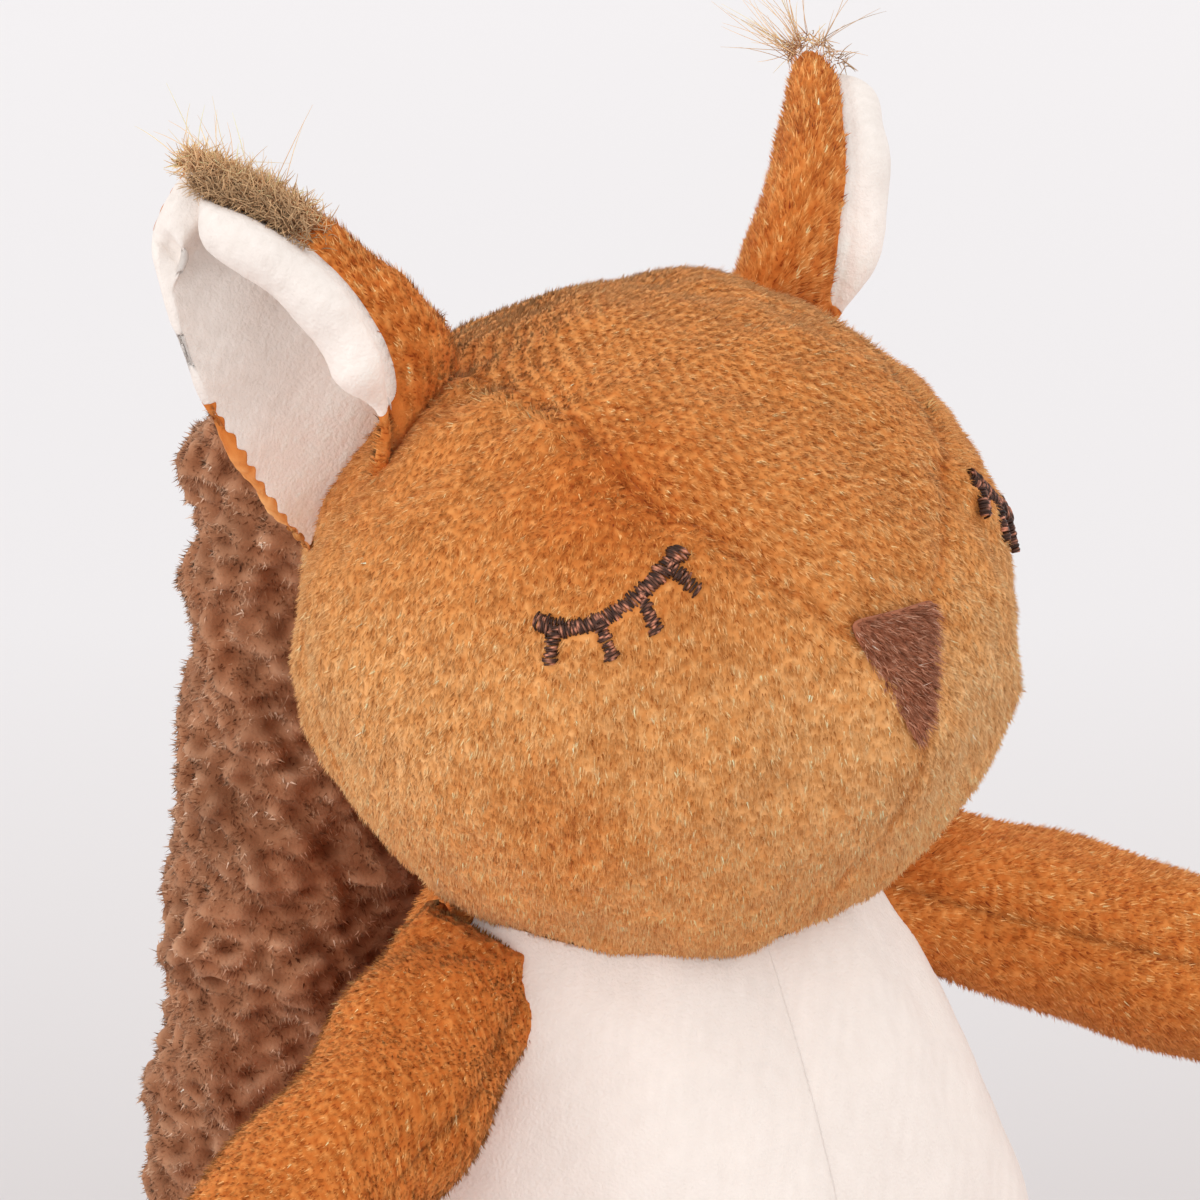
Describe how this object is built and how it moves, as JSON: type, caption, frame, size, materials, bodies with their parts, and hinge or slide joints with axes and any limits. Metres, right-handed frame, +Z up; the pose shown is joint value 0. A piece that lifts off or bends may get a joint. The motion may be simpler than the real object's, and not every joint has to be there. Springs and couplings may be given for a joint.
{
  "type": "plush toy squirrel",
  "caption": "Seated plush squirrel with a round head, closed embroidered eyes, tufted ears and a curly fleece tail; sewn panels over stuffing, limbs, ears, tail and head that bend.",
  "frame": {"origin": "middle of the flat seat panel's underside, where the toy sits", "axes": "+Z up, -Y towards the face, +X towards the toy's left"},
  "size_m": [0.1686, 0.1631, 0.1839],
  "materials": {
    "tan_plush": "short plush with a combed pile, tan to orange",
    "russet_plush": "short plush with a combed pile, orange brown",
    "cream_plush": "fine short plush, off-white",
    "nose_plush": "short plush, brown",
    "tail_fleece": "curly long fleece, brown with tan tips",
    "ear_fur": "long straight fur, tan and brown",
    "embroidery_thread": "satin stitch, slightly glossy, dark brown",
    "stuffing": "loose polyester fibre, matt"
  },
  "bodies": {
    "torso": {"seat_panel": "russet_plush", "belly_right_panel": "cream_plush", "belly_left_panel": "cream_plush", "back_right_panel": "russet_plush", "back_left_panel": "russet_plush", "torso_stuffing": "stuffing"},
    "neck": {"neck_stuffing": "stuffing"},
    "head": {"head_gusset": "tan_plush", "head_right_panel": "tan_plush", "head_left_panel": "tan_plush", "head_back_panel": "tan_plush", "head_stuffing": "stuffing", "nose_patch": "nose_plush", "eye_right_embroidery": "embroidery_thread", "eye_left_embroidery": "embroidery_thread"},
    "ear_right": {"ear_right_back": "russet_plush", "ear_right_lining": "cream_plush", "ear_right_tuft": "ear_fur"},
    "ear_left": {"ear_left_back": "russet_plush", "ear_left_lining": "cream_plush", "ear_left_tuft": "ear_fur"},
    "arm_right": {"arm_right_top_panel": "russet_plush", "arm_right_under_panel": "russet_plush", "arm_right_stuffing": "stuffing"},
    "arm_left": {"arm_left_top_panel": "russet_plush", "arm_left_under_panel": "russet_plush", "arm_left_stuffing": "stuffing"},
    "leg_right": {"leg_right_outer_panel": "russet_plush", "leg_right_inner_panel": "russet_plush", "leg_right_stuffing": "stuffing"},
    "leg_left": {"leg_left_outer_panel": "russet_plush", "leg_left_inner_panel": "russet_plush", "leg_left_stuffing": "stuffing"},
    "tail": {"tail_right_panel": "tail_fleece", "tail_left_panel": "tail_fleece", "tail_stuffing": "stuffing"}
  },
  "joints": [
    {"name": "head_turn", "type": "hinge", "parent": "torso", "child": "neck", "pos_m": [0, -0.002, 0.095], "axis": [0, 0, 1], "range_deg": [-25, 25], "stiffness_Nm_per_rad": 0.05},
    {"name": "head_nod", "type": "hinge", "parent": "neck", "child": "head", "pos_m": [0, -0.002, 0.095], "axis": [1, 0, 0], "range_deg": [-5, 8], "stiffness_Nm_per_rad": 0.25},
    {"name": "ear_right_flap", "type": "hinge", "parent": "head", "child": "ear_right", "pos_m": [-0.02608, 0.01655, 0.1468], "axis": [0.2962, -0.5039, 0.8114], "range_deg": [-15, 15], "stiffness_Nm_per_rad": 0.02},
    {"name": "ear_left_flap", "type": "hinge", "parent": "head", "child": "ear_left", "pos_m": [0.02608, 0.01655, 0.1468], "axis": [0.2962, 0.5039, -0.8114], "range_deg": [-15, 15], "stiffness_Nm_per_rad": 0.02},
    {"name": "arm_right_raise", "type": "hinge", "parent": "torso", "child": "arm_right", "pos_m": [-0.02726, -0.00627, 0.0945], "axis": [-0.2387, 0.9582, 0.1574], "range_deg": [-25, 25], "stiffness_Nm_per_rad": 0.1},
    {"name": "arm_left_raise", "type": "hinge", "parent": "torso", "child": "arm_left", "pos_m": [0.02726, -0.00627, 0.0945], "axis": [-0.2387, -0.9582, -0.1574], "range_deg": [-25, 25], "stiffness_Nm_per_rad": 0.1},
    {"name": "leg_right_lift", "type": "hinge", "parent": "torso", "child": "leg_right", "pos_m": [-0.025, -0.03209, 0.019], "axis": [-0.8953, 0.4421, 0.054], "range_deg": [-15, 40], "stiffness_Nm_per_rad": 0.3},
    {"name": "leg_left_lift", "type": "hinge", "parent": "torso", "child": "leg_left", "pos_m": [0.025, -0.03209, 0.019], "axis": [-0.8953, -0.4421, -0.054], "range_deg": [-15, 40], "stiffness_Nm_per_rad": 0.3},
    {"name": "tail_tip", "type": "hinge", "parent": "torso", "child": "tail", "pos_m": [0, 0.03823, 0.024], "axis": [-1, 0, 0], "range_deg": [-1, 50], "stiffness_Nm_per_rad": 0.3}
  ]
}
